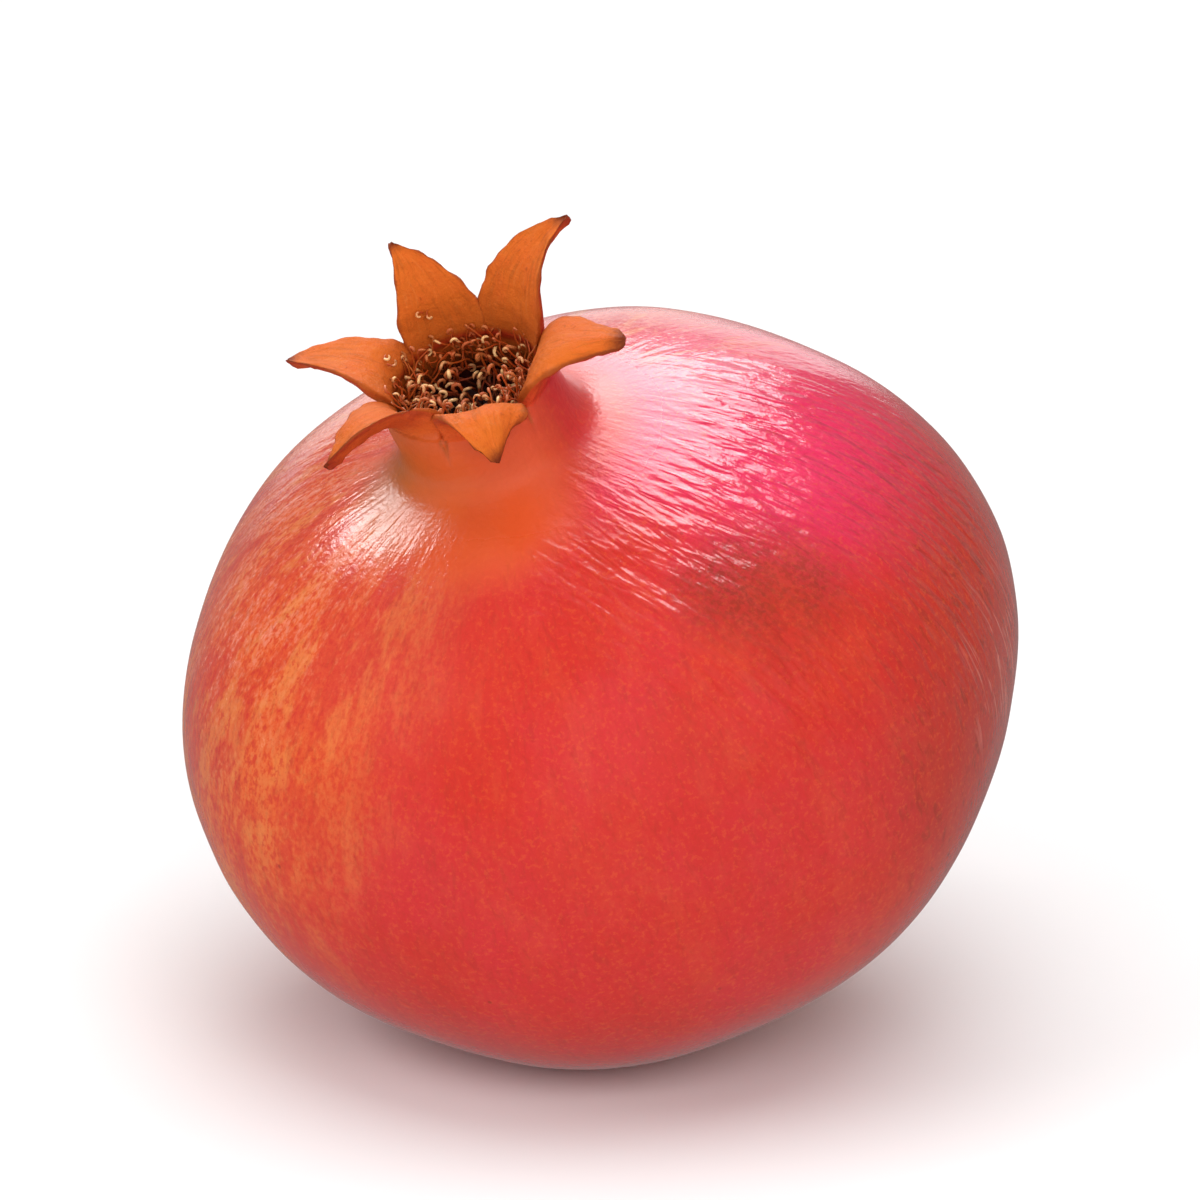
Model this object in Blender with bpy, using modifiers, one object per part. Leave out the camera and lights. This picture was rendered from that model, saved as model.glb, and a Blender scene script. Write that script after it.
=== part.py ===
"""A whole pomegranate, as picked, lying on the small flat spot of its own rind.

The fruit grew as one piece: the body, the neck and the crown of six sepals are one solid. The dried
stamens stand in the crown's cup, each a piece of its own, and the stub of the stalk is at the other end.

World frame: +Z up, origin at the centre of the flat spot, the crown leaning towards -Y.
Metres. Run with: blender --background --python part.py
"""

from math import asin, cos, exp, pi, radians, sin, sqrt

import bmesh
import bpy
from mathutils import Vector
from mathutils.geometry import interpolate_bezier

# Driving dimensions. The fruit's own frame has its axis along Z and its widest ring at Z = 0.
BODY_RADIUS = 0.050
UPPER_HEIGHT = 0.038
LOWER_HEIGHT = 0.042
LEAN = radians(24.0)
FLAT_DEPTH = 0.0016

NECK_RADIUS = 0.0106
NECK_FLARE = 0.0080
NECK_FLARE_POWER = 4.5
RIM_HEIGHT = 0.0456
RIM_WALL = 0.0022
RIM_DRAFT = 0.00022
CUP_DEPTH = 0.0100
CUP_FLOOR_RADIUS = 0.0062
CUP_FLOOR_RISE = 0.0030
CROWN_OFFSET = 0.0036
CROWN_OFFSET_AZIMUTH = radians(217.0)
CROWN_OFFSET_START = 0.026

SEPAL_WIDTH = 0.0112
SEPAL_THICKNESS = 0.0015
SEPAL_ROOT = 0.0030
SEPAL_CUP = 0.0017
SEPAL_TIP_SHARE = 0.09

DIMPLE_DEPTH = 0.0025
DIMPLE_RADIUS = 0.0090
STALK_RADIUS = 0.0030
STALK_LENGTH = 0.0032
STALK_EDGE = 0.0005
STALK_SIDES = 16

STAMEN_RADIUS = 0.00024
ANTHER_SWELL = 2.2
STAMENS_IN_A_TIER = 14
STAMEN_POINTS = 7
CLEARANCE = 0.0003

# How fine the turned body and the sepals are.
SCREW_STEPS = 48
BODY_ROWS = 26
NECK_ROWS = 9
SEPAL_ROWS = 9
SEPAL_COLUMNS = 6
MERGE = 0.00001
SHARP_ANGLE = radians(50.0)

# Each sepal as it grew, in degrees and metres: its azimuth round the crown, how far its tip swings from
# that, the height of its arch, the bow and shoulder where it turns over, its tip's reach and rise from
# the rim's centre, and how far its edges roll under at the tip.
SEPALS = (
    dict(name="upright_left", azimuth=141, swing=11, arch=0.0060, bow=0.0112, shoulder=0.0100,
         reach=0.0138, rise=0.0128, roll=-0.0005),
    dict(name="upright_right", azimuth=81, swing=-19, arch=0.0066, bow=0.0124, shoulder=0.0118,
         reach=0.0179, rise=0.0145, roll=-0.0006),
    dict(name="right", azimuth=21, swing=2, arch=0.0056, bow=0.0146, shoulder=0.0074,
         reach=0.0211, rise=0.0049, roll=0.0009),
    dict(name="front_right", azimuth=-39, swing=0, arch=0.0040, bow=0.0146, shoulder=0.0058,
         reach=0.0162, rise=-0.0004, roll=0.0010),
    dict(name="front_left", azimuth=-99, swing=-3, arch=0.0036, bow=0.0160, shoulder=0.0064,
         reach=0.0207, rise=0.0020, roll=-0.0004),
    dict(name="left", azimuth=-159, swing=0, arch=0.0034, bow=0.0148, shoulder=0.0054,
         reach=0.0213, rise=0.0040, roll=-0.0004),
)

# The tiers of stamens, from the rim down: where each starts on the cup's wall, and its tip.
STAMEN_TIERS = (
    dict(foot=-0.0030, tip_radius=0.0062, tip_height=-0.0002),
    dict(foot=-0.0050, tip_radius=0.0044, tip_height=0.0005),
    dict(foot=-0.0072, tip_radius=0.0027, tip_height=-0.0006),
)

RIND = ("rind", (0.78, 0.11, 0.10), 0.35)
WOOD = ("stalk", (0.30, 0.17, 0.09), 0.85)
FILAMENT = ("stamen", (0.42, 0.17, 0.05), 0.70)


def clear_scene():
    for old in list(bpy.data.objects):
        bpy.data.objects.remove(old, do_unlink=True)


def new_collection(name):
    collection = bpy.data.collections.new(name)
    bpy.context.scene.collection.children.link(collection)
    return collection


def new_material(name, colour, roughness):
    material = bpy.data.materials.new(name)
    material.use_nodes = True
    shader = material.node_tree.nodes["Principled BSDF"]
    shader.inputs["Base Color"].default_value = (*colour, 1.0)
    shader.inputs["Roughness"].default_value = roughness
    shader.inputs["Metallic"].default_value = 0.0
    return material


def place(made, collection, parent, material=None):
    """Puts a new object in its collection and frame, and gives it its material."""
    for other in made.users_collection:
        other.objects.unlink(made)
    collection.objects.link(made)
    made.parent = parent
    if material:
        made.data.materials.append(material)
    return made


def as_helper(helper):
    """A shape that joins or cuts another one, and isn't a part itself."""
    helper.hide_render = True
    helper.display_type = "WIRE"


def combine(target, other, operation):
    modifier = target.modifiers.new(f"{operation.title()} {other.name}", "BOOLEAN")
    modifier.operation = operation
    modifier.object = other
    modifier.solver = "EXACT"


def smooth_step(share):
    share = min(max(share, 0.0), 1.0)
    return share * share * (3.0 - 2.0 * share)


# ---------------------------------------------------------------- frames


def fruit_frame(collection):
    """Leans the fruit, with its lowest point FLAT_DEPTH under the ground and the flat spot at the origin."""
    support = sqrt((BODY_RADIUS * sin(LEAN)) ** 2 + (LOWER_HEIGHT * cos(LEAN)) ** 2)
    forward = (BODY_RADIUS**2 - LOWER_HEIGHT**2) * sin(LEAN) * cos(LEAN) / support
    frame = place(bpy.data.objects.new("fruit_frame", None), collection, None)
    frame.location = (0.0, forward, support - FLAT_DEPTH)
    frame.rotation_euler = (LEAN, 0.0, 0.0)
    return frame


def crown_shift(height):
    """How far the neck has grown to one side of the axis at this height."""
    share = smooth_step((height - CROWN_OFFSET_START) / (RIM_HEIGHT - CROWN_OFFSET_START))
    return Vector((cos(CROWN_OFFSET_AZIMUTH), sin(CROWN_OFFSET_AZIMUTH), 0.0)) * CROWN_OFFSET * share


def crown_frame(collection, parent):
    """The centre of the crown's rim, which its sepals and stamens are placed from."""
    frame = place(bpy.data.objects.new("crown_frame", None), collection, parent)
    frame.location = crown_shift(RIM_HEIGHT) + Vector((0.0, 0.0, RIM_HEIGHT))
    return frame


# ---------------------------------------------------------------- body


def neck_foot():
    """(radius, height) where the neck leaves the shoulder."""
    radius = NECK_RADIUS + NECK_FLARE
    return radius, UPPER_HEIGHT * sqrt(1.0 - (radius / BODY_RADIUS) ** 2)


def body_profile():
    """(radius, height) points: out of the cup, over the rim, down the neck and round to the stalk."""
    inner = NECK_RADIUS - RIM_WALL
    floor = RIM_HEIGHT - CUP_DEPTH
    points = [(0.0, floor), (CUP_FLOOR_RADIUS, floor), (inner, floor + CUP_FLOOR_RISE)]
    points += [(inner + RIM_DRAFT, RIM_HEIGHT), (NECK_RADIUS, RIM_HEIGHT)]
    foot_radius, foot_height = neck_foot()
    for row in range(1, NECK_ROWS):
        along = row / NECK_ROWS
        height = RIM_HEIGHT + (foot_height - RIM_HEIGHT) * along
        points.append((NECK_RADIUS + NECK_FLARE * along**NECK_FLARE_POWER, height))
    # The two half ellipsoids follow one angle, from the neck's foot down to the stalk.
    start = asin(foot_height / UPPER_HEIGHT)
    for row in range(BODY_ROWS + 1):
        turn = start + (-pi / 2 - start) * row / BODY_ROWS
        radius = max(BODY_RADIUS * cos(turn), 0.0)
        if turn > 0.0:
            points.append((radius, UPPER_HEIGHT * sin(turn)))
        else:
            dimple = DIMPLE_DEPTH * exp(-((radius / DIMPLE_RADIUS) ** 2))
            points.append((radius, LOWER_HEIGHT * sin(turn) + dimple))
    points[-1] = (0.0, points[-1][1])
    return points


def build_body(collection, parent, material):
    """The turned body with its neck and cup, grown a little to one side at the neck."""
    outline = bpy.data.meshes.new("body_outline")
    points = body_profile()
    edges = [(i, i + 1) for i in range(len(points) - 1)]
    outline.from_pydata([(radius, 0.0, height) for radius, height in points], edges, [])
    turned = place(bpy.data.objects.new("body_outline", outline), collection, None)
    screw = turned.modifiers.new("Turn", "SCREW")
    screw.steps = screw.render_steps = SCREW_STEPS
    screw.use_merge_vertices = True
    screw.merge_threshold = MERGE
    graph = bpy.context.evaluated_depsgraph_get()
    mesh = bpy.data.meshes.new_from_object(turned.evaluated_get(graph))
    bpy.data.objects.remove(turned)
    for vertex in mesh.vertices:
        in_cup = vertex.co.z > 0.0 and vertex.co.xy.length < NECK_RADIUS - RIM_WALL / 2
        vertex.co += crown_shift(RIM_HEIGHT if in_cup else vertex.co.z)
    mesh.shade_smooth()
    mesh.set_sharp_from_angle(angle=SHARP_ANGLE)
    return place(bpy.data.objects.new("fruit", mesh), collection, parent, material)


# ---------------------------------------------------------------- crown


def sepal_line(sepal):
    """Points of a sepal's middle line, as (radius, height) from the rim's centre, and their shares."""
    middle = NECK_RADIUS - RIM_WALL / 2
    bends = [(middle, 0.0), (middle, sepal["arch"]), (sepal["bow"], sepal["shoulder"])]
    bends.append((sepal["reach"], sepal["rise"]))
    curve = interpolate_bezier(*(Vector((*bend, 0.0)) for bend in bends), SEPAL_ROWS)
    points = [Vector((middle, -SEPAL_ROOT, 0.0)), *curve]
    shares = [0.0] + [row / (SEPAL_ROWS - 1) for row in range(SEPAL_ROWS)]
    return points, shares


def sepal_half_width(share):
    taper = (1.0 - share**1.35) ** 0.85
    return SEPAL_WIDTH / 2 * max(taper, SEPAL_TIP_SHARE)


def build_sepal(sepal, collection, parent):
    """A leaf-shaped flap: cupped like the neck at its root, pointed, and rolled at the edges."""
    points, shares = sepal_line(sepal)
    mesh = bpy.data.meshes.new(sepal["name"])
    grid = bmesh.new()
    bmesh.ops.create_grid(grid, x_segments=SEPAL_COLUMNS, y_segments=len(points) - 1, size=1.0)
    for vertex in grid.verts:
        across = vertex.co.x
        row = round((vertex.co.y + 1.0) / 2 * (len(points) - 1))
        share = shares[row]
        ahead = (points[min(row + 1, len(points) - 1)] - points[max(row - 1, 0)]).normalized()
        azimuth = radians(sepal["azimuth"] + sepal["swing"] * share**2)
        outward = Vector((cos(azimuth), sin(azimuth), 0.0))
        sideways = Vector((-sin(azimuth), cos(azimuth), 0.0))
        inner_side = Vector((0.0, 0.0, ahead.x)) - outward * ahead.y
        bend = SEPAL_CUP * (1.0 - share) ** 2 - sepal["roll"] * sin(pi * share)
        vertex.co = outward * points[row].x + Vector((0.0, 0.0, points[row].y))
        vertex.co += sideways * across * sepal_half_width(share)
        vertex.co += inner_side * bend * across**2
    bmesh.ops.recalc_face_normals(grid, faces=grid.faces)
    grid.to_mesh(mesh)
    grid.free()
    flap = place(bpy.data.objects.new(sepal["name"], mesh), collection, parent)
    solidify = flap.modifiers.new("Thickness", "SOLIDIFY")
    solidify.thickness = SEPAL_THICKNESS
    solidify.offset = 0.0
    as_helper(flap)
    return flap


def build_floor_cutter(collection):
    """The ground, which flattens the rind where the fruit lies on it."""
    side = 4 * BODY_RADIUS
    bpy.ops.mesh.primitive_cube_add(size=side, location=(0.0, 0.0, -side / 2))
    cutter = bpy.context.active_object
    cutter.name = "ground"
    as_helper(cutter)
    return place(cutter, collection, None)


# ---------------------------------------------------------------- stamens and stalk


def build_stamen(name, tier, azimuth, collection, parent, material):
    """One filament from the cup's wall, bending inwards and up, with its anther as a swollen end."""
    wall = NECK_RADIUS - RIM_WALL - CLEARANCE - STAMEN_RADIUS
    foot, tip_radius, tip_height = tier["foot"], tier["tip_radius"], tier["tip_height"]
    bends = [(wall, foot), (wall, (foot + tip_height) / 2)]
    bends += [((wall + tip_radius) / 2, tip_height + CLEARANCE), (tip_radius, tip_height)]
    outward = Vector((cos(azimuth), sin(azimuth), 0.0))
    curve = bpy.data.curves.new(name, "CURVE")
    curve.dimensions = "3D"
    curve.bevel_depth = STAMEN_RADIUS
    curve.bevel_resolution = 1
    curve.use_fill_caps = True
    points = interpolate_bezier(*(Vector((*bend, 0.0)) for bend in bends), STAMEN_POINTS)
    spline = curve.splines.new("POLY")
    spline.points.add(len(points) - 1)
    for row, point in enumerate(points):
        spline.points[row].co = (*(outward * point.x + Vector((0.0, 0.0, point.y))), 1.0)
        spline.points[row].radius = ANTHER_SWELL if row == len(points) - 2 else 1.0
    return place(bpy.data.objects.new(name, curve), collection, parent, material)


def build_stamens(collection, parent, material):
    for level, tier in enumerate(STAMEN_TIERS):
        for turn in range(STAMENS_IN_A_TIER):
            azimuth = 2 * pi * (turn + level / len(STAMEN_TIERS)) / STAMENS_IN_A_TIER
            number = level * STAMENS_IN_A_TIER + turn + 1
            build_stamen(f"stamen_{number:02d}", tier, azimuth, collection, parent, material)


def build_stalk(collection, parent, material):
    """The short stub that is left where the fruit was cut from its twig."""
    top = -LOWER_HEIGHT + DIMPLE_DEPTH - CLEARANCE
    bpy.ops.mesh.primitive_cylinder_add(
        vertices=STALK_SIDES, radius=STALK_RADIUS, depth=STALK_LENGTH, location=(0.0, 0.0, top - STALK_LENGTH / 2)
    )
    stub = bpy.context.active_object
    stub.name = "stalk_stub"
    edge = stub.modifiers.new("Worn edge", "BEVEL")
    edge.width = STALK_EDGE
    edge.segments = 2
    return place(stub, collection, parent, material)


def main():
    clear_scene()
    pomegranate = new_collection("pomegranate")
    helpers = new_collection("helpers")
    frame = fruit_frame(pomegranate)
    crown = crown_frame(pomegranate, frame)

    fruit = build_body(pomegranate, frame, new_material(*RIND))
    for sepal in SEPALS:
        combine(fruit, build_sepal(sepal, helpers, crown), "UNION")
    combine(fruit, build_floor_cutter(helpers), "DIFFERENCE")
    even = fruit.modifiers.new("Even shading", "WEIGHTED_NORMAL")
    even.keep_sharp = True

    build_stamens(pomegranate, crown, new_material(*FILAMENT))
    build_stalk(pomegranate, frame, new_material(*WOOD))


main()
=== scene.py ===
"""The finished pomegranate: its rind and crown, its tuft of dried stamens, and the stub of its stalk."""

import random
from math import atan2, cos, exp, pi, radians, sin, sqrt

import bmesh
import bpy
from bpy.props import FloatProperty, FloatVectorProperty, IntProperty, PointerProperty
from mathutils import Matrix, Vector, noise


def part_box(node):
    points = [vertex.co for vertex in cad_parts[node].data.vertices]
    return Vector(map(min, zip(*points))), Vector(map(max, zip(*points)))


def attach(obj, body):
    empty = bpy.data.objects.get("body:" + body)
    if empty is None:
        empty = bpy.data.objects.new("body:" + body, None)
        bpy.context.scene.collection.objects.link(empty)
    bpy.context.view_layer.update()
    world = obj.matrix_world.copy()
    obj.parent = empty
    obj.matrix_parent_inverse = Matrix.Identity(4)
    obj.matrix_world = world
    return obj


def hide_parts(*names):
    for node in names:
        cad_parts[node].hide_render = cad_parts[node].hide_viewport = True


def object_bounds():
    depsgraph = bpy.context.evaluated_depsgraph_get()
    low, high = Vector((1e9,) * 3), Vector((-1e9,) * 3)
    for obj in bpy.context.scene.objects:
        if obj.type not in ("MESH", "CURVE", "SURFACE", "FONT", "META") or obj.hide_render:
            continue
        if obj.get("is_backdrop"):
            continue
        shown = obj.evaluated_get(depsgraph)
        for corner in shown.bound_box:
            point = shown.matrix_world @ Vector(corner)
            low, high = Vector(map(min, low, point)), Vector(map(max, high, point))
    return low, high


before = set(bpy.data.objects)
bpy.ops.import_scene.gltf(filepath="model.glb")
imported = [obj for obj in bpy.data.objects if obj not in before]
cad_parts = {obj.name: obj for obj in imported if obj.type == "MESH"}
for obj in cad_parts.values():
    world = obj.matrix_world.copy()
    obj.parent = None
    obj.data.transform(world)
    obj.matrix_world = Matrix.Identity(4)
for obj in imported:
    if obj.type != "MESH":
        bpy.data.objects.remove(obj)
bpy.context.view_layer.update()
FRUIT_LOW, FRUIT_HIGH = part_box("fruit")
STAMEN_NODES = sorted(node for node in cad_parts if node.startswith("stamen_"))

bl_info = {
    "name": "Pomegranate",
    "version": (1, 0, 0),
    "blender": (4, 5, 0),
    "location": "3D View > Sidebar > Pomegranate",
    "description": "A whole pomegranate with its crown of sepals and its dried stamens",
    "category": "Add Mesh",
}

# The mesh's columns run round the fruit, the same number to each of its six sepals.
SEPAL_COLUMNS = 22
COLUMNS = 6 * SEPAL_COLUMNS
BODY_RINGS = 88
NECK_ROWS = 12
SEPAL_ROWS = 16
SECTOR = radians(60.0)

# How each sepal grew, in degrees and metres: azimuth round the crown, swing of its tip, then its middle
# line (arch, bow and shoulder, reach and rise of its tip from the rim's centre), its width, how blunt its
# tip is, how far its left and right edges curl towards its inner side, and its twist towards the tip.
SEPALS = (
    dict(azimuth=141, swing=11, arch=0.0060, bow=0.0112, shoulder=0.0100, reach=0.0138, rise=0.0128,
         width=0.0112, blunt=0.0, left_curl=0.0004, right_curl=0.0006, twist=0),
    dict(azimuth=81, swing=-19, arch=0.0066, bow=0.0124, shoulder=0.0118, reach=0.0179, rise=0.0145,
         width=0.0120, blunt=0.15, left_curl=0.0004, right_curl=0.0008, twist=14),
    dict(azimuth=21, swing=2, arch=0.0056, bow=0.0146, shoulder=0.0074, reach=0.0211, rise=0.0049,
         width=0.0112, blunt=0.85, left_curl=-0.0002, right_curl=-0.0016, twist=-10),
    dict(azimuth=-39, swing=0, arch=0.0040, bow=0.0146, shoulder=0.0058, reach=0.0162, rise=-0.0004,
         width=0.0114, blunt=0.60, left_curl=-0.0028, right_curl=0.0008, twist=0),
    dict(azimuth=-99, swing=-3, arch=0.0036, bow=0.0160, shoulder=0.0064, reach=0.0207, rise=0.0020,
         width=0.0112, blunt=0.65, left_curl=0.0020, right_curl=-0.0008, twist=8),
    dict(azimuth=-159, swing=0, arch=0.0034, bow=0.0148, shoulder=0.0054, reach=0.0213, rise=0.0040,
         width=0.0112, blunt=0.40, left_curl=0.0008, right_curl=0.0000, twist=0),
)

# Anthers that have dropped on the sepals: which sepal, how far along and across it, and how each lies.
FALLEN = ((0, 0.31, 0.34, 0.6), (0, 0.32, 0.20, 2.2), (5, 0.26, -0.35, 1.2), (5, 0.22, -0.15, 2.9))
FALLEN_LENGTH = 0.0009
FALLEN_SCALE = 0.68
FALLEN_CLEARANCE = 0.0003

# Short dry splits that run down the neck from the notches between sepals: where they are, in degrees round
# the crown, where they begin and end under the rim, how wide they are and how deep.
NECK_SPLITS = (-9.0, -69.0, 51.0)
SPLIT_START = -0.0008
SPLIT_END = -0.0046
SPLIT_WIDTH = 0.00024
SPLIT_DEPTH = 0.00040

# The neck leaves the body at this angle from the axis, where its slope is the body's own.
NECK_FOOT_ANGLE = radians(17.5)

# The cup's profile: its wall, in and down from the rim's inner edge, then in and up from the cup's floor.
CUP_WALL = ((0.0, 0.0), (0.0002, 0.0014), (0.0003, 0.0034), (0.0006, 0.0058))
CUP_FLOOR = ((0.0016, 0.0016), (0.0032, 0.0004), (0.0054, 0.0))
CUP_CLEARANCE = 0.0003

# Where the rind lies: how softly it meets the floor, and up to which height it is eased down to it.
FLAT_SOFTNESS = 0.00022
FLAT_REACH = 0.004
FLAT_EASING = 0.006

FILAMENT_SIDES = 5
FILAMENT_STEPS = 8
ANTHER_SWELLS = (1.50, 1.15, 1.0, 0.95, 0.90, 0.55)

# The stub of the stalk, and its cut face's rings: how wide each is, as a share of the radius, and how high.
STUB_RADIUS = 0.0029
STUB_LENGTH = 0.0034
STUB_SUNK = 0.0030
STUB_RINGS = ((0.16, 0.0), (0.10, -0.0002), (0.40, 0.00012), (0.14, -0.0004))

# Areas of the rind with a colour or a relief of their own, in degrees of the fruit's own frame: azimuth,
# angle from the axis, how far the area reaches from its middle, how softly it ends, and how unevenly.
RIND_AREAS = {
    "west": (-147.0, 66.0, 48.0, 19.0, 1.0),
    "east": (34.0, 104.0, 34.0, 20.0, 1.0),
    # top and high also set where the pale speckles stand in part for a painted highlight.
    "top": (140.0, 50.0, 42.0, 22.0, 1.0),
    "high": (-150.0, 46.0, 30.0, 16.0, 1.0),
    "front": (-88.0, 50.0, 16.0, 12.0, 1.0),
    "shoulder": (44.0, 40.0, 27.0, 15.0, 1.0),
    "sunny": (10.0, 47.0, 34.0, 14.0, 1.0),
    "neck_left": (-114.0, 18.0, 9.0, 7.0, 0.3),
    "neck_front": (-70.0, 19.0, 11.0, 9.0, 0.3),
    # scuff: a darker brown patch with spots.
    "scuff": (-5.0, 55.0, 6.0, 10.0, 0.5),
    "rubbed": (24.0, 90.0, 9.0, 7.0, 0.5),
}

# For the rind's patterns, in millimetres: its greatest radius, and a meridian's length to the radian.
RIND_RADIUS = 50.0
RIND_MERIDIAN = 46.0
FAN_AZIMUTH = radians(12.0)

# The lights, as seen from the fruit's middle: name, azimuth and elevation in degrees, distance, width and
# height, strength, and whether it shows as a highlight instead of lighting the scene.
LIGHTS = (
    ("sky", 90.0, 82.0, 1.4, (1.6, 1.6), 2.2, False),
    ("front", -42.0, 26.0, 1.35, (1.6, 1.1), 2.35, False),
    ("left", -125.0, 30.0, 1.35, (1.0, 1.0), 1.9, False),
    ("window_behind", 137.0, 56.0, 0.65, (0.46, 0.62), 8.4, True),
    ("window_left", -168.0, 42.0, 0.65, (0.15, 0.15), 22.0, True),
    ("sheen_left", 135.0, 8.0, 0.90, (0.62, 0.34), 1.3, True),
)


def smooth_step(low, high, value):
    share = min(max((value - low) / (high - low), 0.0), 1.0)
    return share * share * (3.0 - 2.0 * share)


def half_turn(angle):
    """The same direction, as an angle between minus and plus half a turn."""
    return (angle + pi) % (2 * pi) - pi


def bumps(spot, scale, height, shift=(0.0, 0.0, 0.0)):
    """Smooth random unevenness of this height; a greater scale makes it finer."""
    return noise.noise(spot * scale + Vector(shift)) * height


def direction(azimuth, elevation):
    """A unit vector from two angles in degrees."""
    turn, lift = radians(azimuth), radians(elevation)
    return Vector((cos(turn) * cos(lift), sin(turn) * cos(lift), sin(lift)))


# ---------------------------------------------------------------- settings


class FruitSizes(bpy.types.PropertyGroup):
    body_radius: FloatProperty(
        name="Body radius", description="Half the fruit's greatest width",
        default=(FRUIT_HIGH.x - FRUIT_LOW.x) / 2, unit="LENGTH")
    upper_height: FloatProperty(
        name="Upper height",
        description="From the widest ring to the top of the body, under the neck", default=0.038,
        unit="LENGTH")
    lower_height: FloatProperty(
        name="Lower height", description="From the widest ring to the stalk end", default=0.042,
        unit="LENGTH")
    lean: FloatProperty(
        name="Lean", description="How far the fruit's axis leans", default=radians(24.0),
        subtype="ANGLE")
    flat_depth: FloatProperty(
        name="Flat depth", description="How much the rind is flattened where it lies",
        default=0.0016, unit="LENGTH")
    ripple: FloatProperty(
        name="Ripple", description="Unevenness of the rind", default=0.00045, unit="LENGTH")


class CrownSizes(bpy.types.PropertyGroup):
    neck_radius: FloatProperty(
        name="Neck radius", description="Outside of the rim", default=0.0106, unit="LENGTH")
    neck_power: FloatProperty(
        name="Neck flare", description="How late the neck flares out", default=7.0)
    rim_height: FloatProperty(
        name="Rim height", description="From the widest ring to the crown's rim", default=0.0456,
        unit="LENGTH")
    rim_wall: FloatProperty(
        name="Rim wall", description="Thickness of the rim", default=0.0020, unit="LENGTH")
    cup_depth: FloatProperty(
        name="Cup depth", description="From the rim to the cup's floor", default=0.0090,
        unit="LENGTH")
    offset: FloatProperty(
        name="Offset", description="How far the crown has grown to one side", default=0.0036,
        unit="LENGTH")
    offset_azimuth: FloatProperty(
        name="Offset azimuth", description="Which side that is", default=radians(217.0),
        subtype="ANGLE")
    offset_start: FloatProperty(
        name="Offset start", description="Height at which the offset begins", default=0.026,
        unit="LENGTH")
    sepal_thickness: FloatProperty(
        name="Sepal thickness", description="At a sepal's middle", default=0.0020, unit="LENGTH")


class StamenSizes(bpy.types.PropertyGroup):
    number: IntProperty(name="Stamens", description="Filaments in the tuft", default=300)
    kinds: IntProperty(
        name="Kinds", description="Filaments modelled before they are copied", default=9)
    radius: FloatProperty(
        name="Filament radius", description="Half a filament's width", default=0.00014,
        unit="LENGTH")
    length: FloatProperty(
        name="Filament length", description="Without its anther", default=0.0072, unit="LENGTH")
    anther: FloatProperty(
        name="Anther step", description="A sixth of an anther's length", default=0.00032,
        unit="LENGTH")


class StageSettings(bpy.types.PropertyGroup):
    azimuth: FloatProperty(
        name="Camera azimuth", description="Round the fruit", default=radians(39.5),
        subtype="ANGLE")
    elevation: FloatProperty(
        name="Camera elevation", description="Above the floor", default=radians(19.0),
        subtype="ANGLE")
    distance: FloatProperty(
        name="Camera distance", description="From the fruit's middle", default=1.50, unit="LENGTH")
    lens: FloatProperty(name="Lens", description="Focal length in millimetres", default=384.0)
    floor_colour: FloatVectorProperty(
        name="Floor", description="Colour of the floor", default=(0.90, 0.90, 0.90),
        subtype="COLOR")


class Colours(bpy.types.PropertyGroup):
    red: FloatVectorProperty(
        name="Red", description="Most of the rind", default=(0.52, 0.021, 0.014), subtype="COLOR")
    magenta: FloatVectorProperty(
        name="Magenta", description="The sunny shoulder", default=(0.70, 0.017, 0.105),
        subtype="COLOR")
    orange: FloatVectorProperty(
        name="Orange", description="The paler side", default=(0.66, 0.098, 0.018), subtype="COLOR")
    # Pale: real freckles, and in part a painted highlight where they lie round the left highlight and at the
    # top.
    pale: FloatVectorProperty(
        name="Pale", description="Freckles", default=(0.74, 0.26, 0.19), subtype="COLOR")
    yellow: FloatVectorProperty(
        name="Yellow", description="Unripe patches", default=(0.68, 0.20, 0.045), subtype="COLOR")
    # Olive at the left foot of the neck: partly the rind's own olive tint, partly painted shade beside the
    # neck.
    olive_and_shade: FloatVectorProperty(
        name="Olive", description="Foot of the neck", default=(0.38, 0.098, 0.010), subtype="COLOR")
    brick: FloatVectorProperty(
        name="Brick", description="Darker side", default=(0.36, 0.026, 0.010), subtype="COLOR")
    # Brown for dots, freckles, flecks, bark and the darker brown patch.
    brown: FloatVectorProperty(
        name="Brown", description="Scuffs and dots", default=(0.18, 0.022, 0.007), subtype="COLOR")
    sepal: FloatVectorProperty(
        name="Sepal", description="Leathery sepals", default=(0.60, 0.125, 0.014), subtype="COLOR")
    # A darker brown: the sepals' own fibres, the dry splits and some filaments, and also painted shade at
    # the sepals' feet and on the cup's wall.
    dark_brown_and_shade: FloatVectorProperty(
        name="Sepal foot", description="Inside, by the cup", default=(0.40, 0.082, 0.010),
        subtype="COLOR")
    sepal_tip: FloatVectorProperty(
        name="Sepal tip", description="Dried tips and edges", default=(0.13, 0.017, 0.007),
        subtype="COLOR")
    # Painted shade deep in the cup, near black.
    cup: FloatVectorProperty(
        name="Cup", description="Inside the cup", default=(0.040, 0.006, 0.005), subtype="COLOR")
    filament: FloatVectorProperty(
        name="Filament", description="Dried filaments", default=(0.44, 0.056, 0.006),
        subtype="COLOR")
    anther: FloatVectorProperty(
        name="Anther", description="Pale anthers", default=(0.86, 0.52, 0.22), subtype="COLOR")
    stub: FloatVectorProperty(
        name="Stub", description="Woody stalk", default=(0.20, 0.105, 0.050), subtype="COLOR")
    stub_cut: FloatVectorProperty(
        name="Stub cut", description="Cut face of the stalk", default=(0.46, 0.31, 0.17),
        subtype="COLOR")


# ---------------------------------------------------------------- frames


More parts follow.
